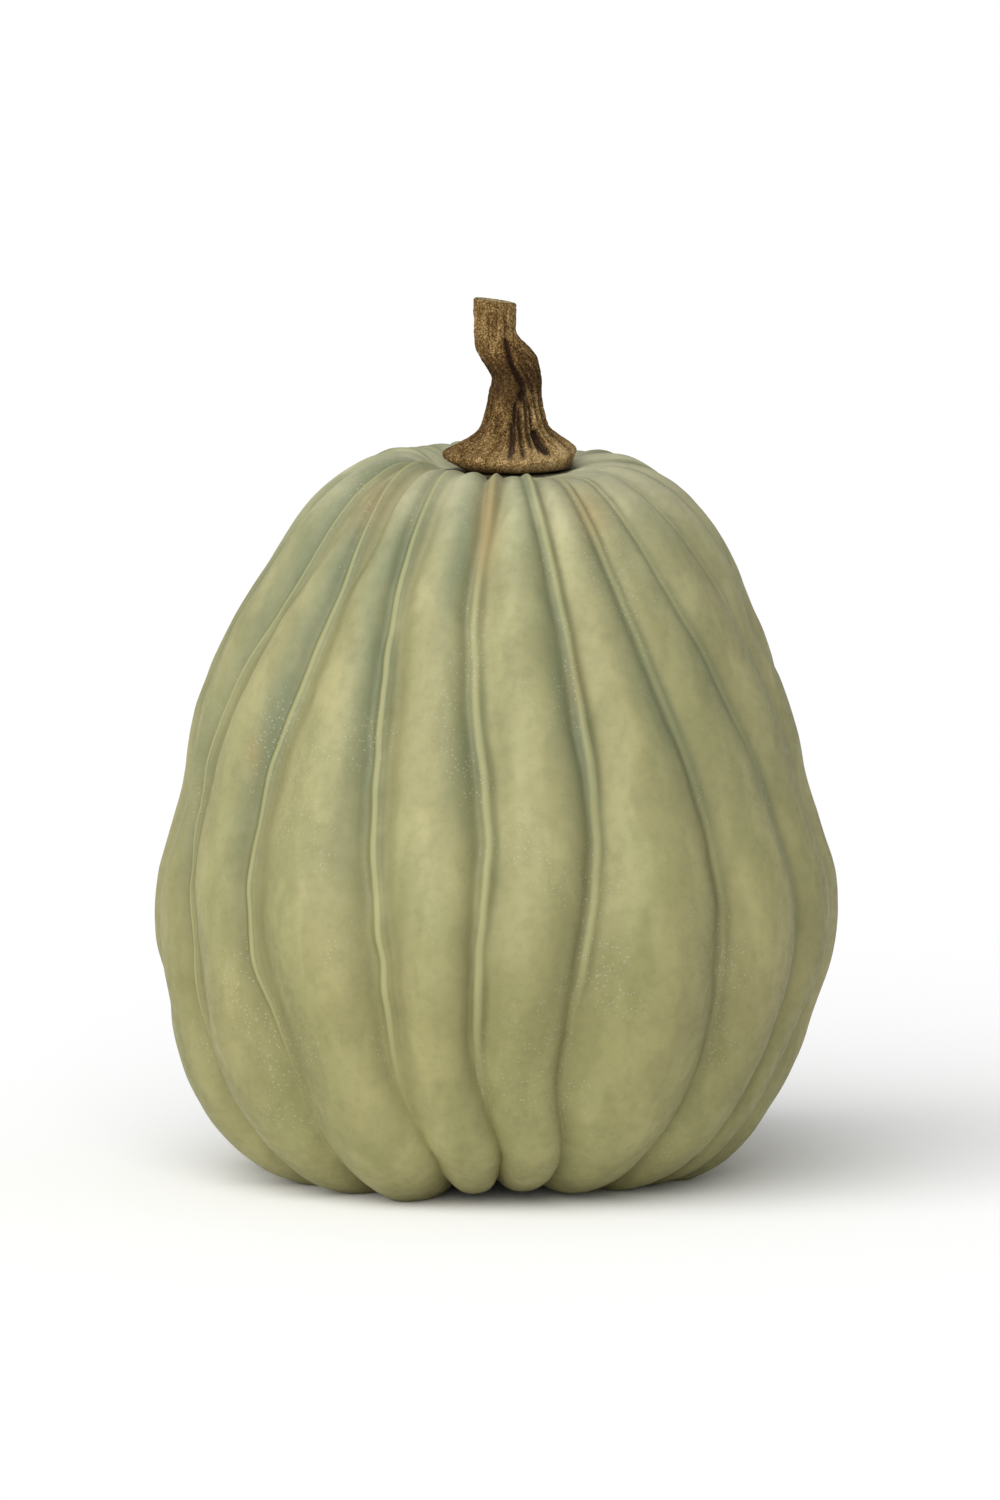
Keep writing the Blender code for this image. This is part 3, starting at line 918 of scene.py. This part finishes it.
def bark_rings(azimuth, toes, rim_rise):
    """Rings of the bark from the rim up, with the depth of its flutes and its relief."""
    table = np.array(STEM_RINGS) * MM
    levels = np.linspace(table[0, 0], table[-1, 0], STEM_ROWS)
    top = levels[-1]
    rings = []
    cuts = []
    reliefs = []
    for level, across, forward, width, depth in smooth_values(table[:, 0], table, levels):
        low = smooth_step(-level, -RIM_FADE, -RIM_TOP)
        high = smooth_step(level, top - CUT_DEPTH, top)
        relief = fibre_relief(azimuth, level, width)
        cut = flute_cut(azimuth, level, width)
        cut += CUT_ROUNDING * max(0.0, 1 - (top - level) / CUT_ROUNDING_DEPTH) ** 2
        reach = 1 + (toes - 1) * low
        tilt = CUT_TILT / 2 * np.sin(np.radians(azimuth)) * high
        rings.append(stem_ring(
            azimuth, across, forward, reach * width - cut + relief,
            reach * depth - cut + relief, level + rim_rise * low - tilt,
        ))
        cuts.append(cut)
        reliefs.append(relief)
    return rings, cuts, reliefs


def cut_rings(edge):
    """Rings of the hollowed cut face, from its edge inwards."""
    middle = edge.mean(axis=0)
    return [
        middle + (edge - middle) * share - np.array((0.0, 0.0, sink))
        for share, sink in CUT_RINGS
    ]


def stem_grid():
    """Points of the stem from its sole up, and the numbers that its colours follow."""
    azimuth = np.arange(STEM_COLUMNS) * 360.0 / STEM_COLUMNS
    toes = toe_reach(azimuth)
    edge_lift, rim_rise = rim_levels(azimuth)
    _, across, forward, width, depth = np.array(STEM_RINGS[0]) * MM
    foot = [
        stem_ring(
            azimuth, across, forward, STEM_SOLE_RADIUS, STEM_SOLE_RADIUS, SEAT_HEIGHT + STEM_GAP
        ),
        stem_ring(
            azimuth, across, forward, EDGE_SHARE * toes * width, EDGE_SHARE * toes * depth,
            SEAT_HEIGHT + edge_lift,
        ),
    ]
    rings, cuts, reliefs = bark_rings(azimuth, toes, rim_rise)
    ends = cut_rings(rings[-1])
    blank = np.zeros(STEM_COLUMNS)
    under = [blank] * len(foot)
    over = [blank] * len(ends)
    marks = {
        "flute": np.array(under + cuts + over) / MM,
        "relief": np.array(under + reliefs + over) / MM,
        "cut_end": np.array([blank] * (len(foot) + len(rings)) + [blank + 1] * len(ends)),
    }
    return np.array(foot + rings + ends), marks


def make_stem(material):
    """The stem's bark, with its cut face and its sole."""
    points, marks = stem_grid()
    marks = {label: values[::-1] for label, values in marks.items()}
    return make_grid_object("stem_bark", points[::-1], marks, material)


class Graph:
    """A material's nodes, added one call at a time."""

    def __init__(self, name):
        self.material = bpy.data.materials.new(name)
        self.material.use_nodes = True
        self.tree = self.material.node_tree
        self.shader = self.tree.nodes["Principled BSDF"]

    def add(self, kind, **settings):
        node = self.tree.nodes.new(kind)
        for label, value in settings.items():
            setattr(node, label, value)
        return node

    def join(self, source, socket):
        """Feeds a socket from another one, or sets it to a plain value."""
        if isinstance(source, bpy.types.NodeSocket):
            self.tree.links.new(source, socket)
        elif source is not None:
            socket.default_value = source

    def number(self, label):
        return self.add("ShaderNodeAttribute", attribute_name=label).outputs["Fac"]

    def place(self):
        return self.add("ShaderNodeTexCoord").outputs["Object"]

    def noise(self, place, along, scale, detail, roughness):
        """Noise at a place. It is drawn out upwards where along is below 1."""
        mapping = self.add("ShaderNodeMapping")
        self.join(place, mapping.inputs["Vector"])
        mapping.inputs["Scale"].default_value = (1.0, 1.0, along)
        node = self.add("ShaderNodeTexNoise")
        self.join(mapping.outputs["Vector"], node.inputs["Vector"])
        node.inputs["Scale"].default_value = scale
        node.inputs["Detail"].default_value = detail
        node.inputs["Roughness"].default_value = roughness
        return node.outputs["Fac"]

    def cells(self, vector, scale):
        node = self.add("ShaderNodeTexVoronoi")
        self.join(vector, node.inputs["Vector"])
        node.inputs["Scale"].default_value = scale
        return node.outputs["Distance"]

    def math(self, operation, first, second=None, third=None):
        node = self.add("ShaderNodeMath", operation=operation)
        for source, socket in zip((first, second, third), node.inputs):
            self.join(source, socket)
        return node.outputs["Value"]

    def ranged(self, value, low, high, to_low=0.0, to_high=1.0):
        """Maps low..high smoothly to to_low..to_high and stops at the ends."""
        node = self.add("ShaderNodeMapRange", interpolation_type="SMOOTHSTEP")
        self.join(value, node.inputs["Value"])
        node.inputs["From Min"].default_value = low
        node.inputs["From Max"].default_value = high
        node.inputs["To Min"].default_value = to_low
        node.inputs["To Max"].default_value = to_high
        return node.outputs["Result"]

    def ramp(self, value, stops):
        node = self.add("ShaderNodeValToRGB")
        self.join(value, node.inputs["Fac"])
        elements = node.color_ramp.elements
        while len(elements) < len(stops):
            elements.new(0.5)
        for element, (position, colour) in zip(elements, stops):
            element.position = position
            element.color = (*colour, 1.0)
        return node.outputs["Color"]

    def mix(self, share, first, second, blend="MIX"):
        node = self.add("ShaderNodeMix", data_type="RGBA", blend_type=blend)
        self.join(share, node.inputs["Factor"])
        for source, socket in ((first, node.inputs["A"]), (second, node.inputs["B"])):
            if isinstance(source, tuple):
                source = (*source, 1.0)
            self.join(source, socket)
        return node.outputs["Result"]

    def bump(self, height, strength, distance, normal=None):
        node = self.add("ShaderNodeBump")
        self.join(height, node.inputs["Height"])
        node.inputs["Strength"].default_value = strength
        node.inputs["Distance"].default_value = distance
        self.join(normal, node.inputs["Normal"])
        return node.outputs["Normal"]

    def split(self, vector):
        node = self.add("ShaderNodeSeparateXYZ")
        self.join(vector, node.inputs["Vector"])
        return node.outputs


def shade(colour):
    """The surface colour that looks like this one, 0 to 255, under the studio's light."""
    return tuple(((value / 255 + 0.055) / 1.055) ** 2.4 / STUDIO_LIGHT for value in colour)


def shade_stops(stops):
    """The same for the colours of a ramp, each with its position."""
    return [(position, shade(colour)) for position, colour in stops]


def skin_ground(g, place, level):
    """Khaki ground, lighter over the shoulders, with broad, cloudy and fine mottles."""
    ground = g.ramp(level, shade_stops(GROUND))
    for noise_kind, span, share, tint in MOTTLES:
        spots = g.ranged(g.noise(place, *noise_kind), *span, 0.0, share)
        ground = g.mix(spots, ground, tint, "MULTIPLY")
    return ground


def wash_share(g, place, upper, ragged):
    """How strong the wash on the left of a vein is: ragged, and stronger high up."""
    share = g.ranged(g.math("ADD", g.number("right_flank"), ragged), *WASH_REACH, 1.0, 0.0)
    patches = g.ranged(g.noise(place, *WASH_NOISE), *WASH_PATCHES, THIN_WASH, 1.0)
    share = g.math("MULTIPLY", share, patches)
    return g.math("MULTIPLY", share, g.math("MULTIPLY_ADD", upper, WASH_RISE, WASH_SHARE))


def skin_flanks(g, ground, wash, washed, ragged, aside):
    """Darker flanks, the wash and a painted shadow left of a vein, and an olive band right of it,
    which is partly painted shade.
    """
    left = g.number("left_flank")
    right = g.number("right_flank")
    raised = g.number("raised")
    both = g.ranged(g.math("ADD", g.number("vein"), ragged), *FLANK_REACH, FLANK_SHARE, 0.0)
    flanked = g.mix(g.math("MULTIPLY", both, raised), ground, shade(FLANK))
    flanked = g.mix(g.math("MULTIPLY", washed, raised), flanked, wash)
    shadow = g.math("MULTIPLY", g.ranged(right, *SHADOW_START),
                    g.ranged(right, *SHADOW_END, SHADOW_SHARE, 0.0))
    flanked = g.mix(g.math("MULTIPLY", shadow, raised), flanked, shade(VEIN_SHADOW))
    # The olive band, partly painted shade beside the ridge
    band = g.math("MULTIPLY", g.ranged(left, *BAND_START),
                  g.ranged(left, *BAND_END, BAND_SHARE, 0.0))
    band = g.math("MULTIPLY", band, g.math("MULTIPLY", aside, raised))
    return g.mix(band, flanked, shade(OLIVE_BAND))


def skin_crests(g, flanked, aside, across):
    """Pale crests along the veins, partly their own paler tone and partly painted highlight where
    the ridges catch the light, fainter at the left and plainer at the right.
    """
    vein = g.number("vein")
    less = g.math("MULTIPLY", g.ranged(vein, *CREST_REACH),
                  g.math("MULTIPLY", aside, FAINT_CREST))
    crest = g.math("SUBTRACT", g.ranged(vein, *CREST_REACH, CREST_SHARE, 0.0), less)
    crest = g.math("MULTIPLY", g.math("MAXIMUM", crest, 0.0), g.number("raised"))
    crest = g.math("MULTIPLY", crest, g.ranged(across, *CRESTS_FADE, 1.0, PLAIN_CREST))
    return g.mix(crest, flanked, shade(CREST))


def skin_foot_shade(g, lined, level, ragged):
    """Painted shade on the skin under the foot's edge, and out along the notch in front of it."""
    reach = g.math("ADD", g.number("seat"), g.math("MULTIPLY", ragged, FOOT_SHADE_CHANCE))
    high = g.ranged(level, *FOOT_SHADE_LEVELS)
    share = g.math("MULTIPLY", g.ranged(reach, *FOOT_SHADE_REACH, FOOT_SHADE_SHARE, 0.0), high)
    return g.mix(share, lined, shade(FOOT_SHADE_COLOUR))


def skin_speckles(g, lined, place, washed):
    """Pale speckles in clusters, more of them in the washes."""
    where = g.noise(place, *CLUSTER_NOISE)
    where = g.math("ADD", where, g.math("MULTIPLY", washed, SPECKLE_WASH))
    spots = g.ranged(g.cells(place, SPECKLE_SCALE), *SPECKLE_SIZE, 1.0, 0.0)
    clusters = g.ranged(where, *SPECKLE_CLUSTERS, 0.0, SPECKLE_SHARE)
    return g.mix(g.math("MULTIPLY", spots, clusters), lined, shade(SPECKLE))


def skin_material():
    """Sage and khaki skin, blue-green and olive along the grooves, mottled and speckled."""
    g = Graph("pumpkin_skin")
    place = g.place()
    across = g.split(place)["X"]
    level = g.math("DIVIDE", g.split(place)["Z"], FRUIT_TOP)
    upper = g.ranged(level, *WASH_TURN)
    aside = g.ranged(across, *BANDS_FADE, 1.0, 0.0)
    ragged = g.math("MULTIPLY", g.noise(place, *EDGE_NOISE), EDGE_CHANCE)
    wash = g.mix(upper, shade(LOW_WASH), shade(HIGH_WASH))
    washed = wash_share(g, place, upper, ragged)

    # Colour, one layer over the other
    ground = skin_ground(g, place, level)
    flanked = skin_flanks(g, ground, wash, washed, ragged, aside)
    lined = skin_crests(g, flanked, aside, across)
    lined = g.mix(g.number("warm"), lined, shade(WARM_TAN))
    # A deeper green tint that is partly painted shade
    lined = g.mix(g.number("deep"), lined, wash)
    # Painted shade under the foot's edge
    foot_shaded = skin_foot_shade(g, lined, level, ragged)
    g.join(skin_speckles(g, foot_shaded, place, washed), g.shader.inputs["Base Color"])

    # Satin gloss, and a relief of ripples and pores
    fine = g.noise(place, *FINE_NOISE)
    g.join(g.ranged(fine, *NOISE_SPAN, *SKIN_ROUGHNESS), g.shader.inputs["Roughness"])
    g.shader.inputs["Specular IOR Level"].default_value = SKIN_SPECULAR
    normal = g.bump(g.noise(place, *RIPPLE_NOISE), *RIPPLE_BUMP)
    normal = g.bump(g.noise(place, *PORE_NOISE), *PORE_BUMP, normal)
    g.join(normal, g.shader.inputs["Normal"])
    return g.material


def caught_paint(g, place, grain, streaks):
    """How far the dry golden paint has caught on the fibres and grains at each place."""
    across = g.split(place)["X"]
    height = g.split(place)["Z"]
    blotches = g.noise(place, *BLOTCH_NOISE)
    weighed = ((streaks, STREAK_WEIGHT), (grain, GRAIN_WEIGHT), (blotches, BLOTCH_WEIGHT))
    caught = g.math("MULTIPLY", g.number("relief"), RELIEF_WEIGHT)
    for source, weight in weighed:
        caught = g.math("ADD", caught, g.math("MULTIPLY", g.math("SUBTRACT", source, 0.5), weight))
    foot = g.math("MULTIPLY", g.ranged(height, *FOOT_GILT_HEIGHTS, 1.0, 0.0),
                  g.ranged(across, *FOOT_GILT_PLACES, *FOOT_GILT))
    neck = g.math("MULTIPLY", g.ranged(height, *NECK_GILT_END, NECK_GILT, 0.0),
                  g.ranged(across, *NECK_GILT_PLACES))
    neck = g.math("MULTIPLY", neck, g.ranged(height, *NECK_GILT_START))
    caught = g.math("ADD", g.math("ADD", caught, foot), neck)
    return g.math("ADD", caught, g.ranged(height, *TOP_GILT_HEIGHTS, *TOP_GILT))


def bark_material():
    """Brown bark with dry golden highlights on the raised fibres and dark crevices."""
    g = Graph("stem_bark")
    place = g.place()
    height = g.split(place)["Z"]
    grain = g.noise(place, *GRAIN_NOISE)
    streaks = g.noise(place, *STREAK_NOISE)
    caught = caught_paint(g, place, grain, streaks)
    base = g.ramp(g.ranged(caught, *GILT_SPAN), shade_stops(BARK))

    # Darker on the neck under the bend, and in the flutes with ragged edges
    bend = g.math("MULTIPLY", g.ranged(height, *BEND_START),
                  g.ranged(height, *BEND_END, BEND_SHARE, 0.0))
    shaded = g.mix(bend, base, shade(BEND_SHADE))
    flute = g.number("flute")
    for source, amount in ((streaks, CREVICE_STREAKS), (grain, CREVICE_GRAINS)):
        flute = g.math("ADD", flute, g.math("MULTIPLY_ADD", source, amount, -amount / 2))
    dark = g.ranged(flute, *CREVICE_DEPTHS, 0.0, CREVICE_SHARE)
    creased = g.mix(dark, shaded, shade(CREVICE))

    # Pale wood on the cut
    wood = g.mix(g.ranged(grain, *WOOD_SPAN), shade(DARK_WOOD), shade(PALE_WOOD))
    ended = g.mix(g.math("MULTIPLY", g.number("cut_end"), WOOD_SHARE), creased, wood)
    g.join(ended, g.shader.inputs["Base Color"])
    g.join(g.ranged(grain, *NOISE_SPAN, *BARK_ROUGHNESS), g.shader.inputs["Roughness"])
    g.shader.inputs["Specular IOR Level"].default_value = BARK_SPECULAR
    normal = g.bump(streaks, *STREAK_BUMP)
    normal = g.bump(grain, *GRAIN_BUMP, normal)
    g.join(normal, g.shader.inputs["Normal"])
    return g.material


def make_floor():
    """A wide plain pale floor."""
    g = Graph("floor")
    g.shader.inputs["Base Color"].default_value = (FLOOR_GREY, FLOOR_GREY, FLOOR_GREY, 1.0)
    g.shader.inputs["Roughness"].default_value = FLOOR_ROUGHNESS
    g.shader.inputs["Specular IOR Level"].default_value = FLOOR_SPECULAR
    side = FLOOR_REACH
    mesh = bpy.data.meshes.new("floor")
    mesh.from_pydata(
        [(-side, -side, 0), (side, -side, 0), (side, side, 0), (-side, side, 0)],
        [], [(0, 1, 2, 3)],
    )
    mesh.materials.append(g.material)
    floor = bpy.data.objects.new("floor", mesh)
    bpy.context.scene.collection.objects.link(floor)


def aim(thing, place, target):
    """Puts a lamp or camera at the place, looking at the target."""
    thing.location = place
    thing.rotation_euler = (Vector(target) - Vector(place)).to_track_quat("-Z", "Y").to_euler()


def light_studio():
    """The bright room and the soft lamp."""
    world = bpy.data.worlds.new("studio")
    world.use_nodes = True
    sky = world.node_tree.nodes["Background"]
    sky.inputs["Color"].default_value = (1.0, 1.0, 1.0, 1.0)
    sky.inputs["Strength"].default_value = ROOM_LIGHT
    bpy.context.scene.world = world
    data = bpy.data.lights.new("key", "SUN")
    data.angle = math.radians(KEY_SOFTNESS)
    data.energy = KEY_POWER
    lamp = bpy.data.objects.new("key", data)
    bpy.context.scene.collection.objects.link(lamp)
    bearing = math.radians(KEY_AZIMUTH)
    rise = math.radians(KEY_ELEVATION)
    way = Vector((
        math.cos(rise) * math.sin(bearing),
        -math.cos(rise) * math.cos(bearing),
        math.sin(rise),
    ))
    aim(lamp, KEY_DISTANCE * way, (0.0, 0.0, 0.0))


def place_camera():
    """The camera in front, at the photograph's viewing angle."""
    data = bpy.data.cameras.new("camera")
    data.sensor_width = SENSOR
    data.lens = CAMERA_DISTANCE / PIXEL_SIZE / IMAGE_HEIGHT * SENSOR
    camera = bpy.data.objects.new("camera", data)
    bpy.context.scene.collection.objects.link(camera)
    tilt = math.radians(CAMERA_ELEVATION)
    offset = Vector((0.0, -math.cos(tilt), math.sin(tilt))) * CAMERA_DISTANCE
    aim(camera, Vector(CAMERA_TARGET) + offset, CAMERA_TARGET)
    bpy.context.scene.camera = camera


def main():
    bpy.context.scene.view_settings.view_transform = "Standard"
    place_camera()
    light_studio()
    make_floor()
    fruit = make_fruit(skin_material())
    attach(fruit, "root")
    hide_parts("fruit")
    stem = make_stem(bark_material())
    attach(stem, "root")
    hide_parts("stem")


main()
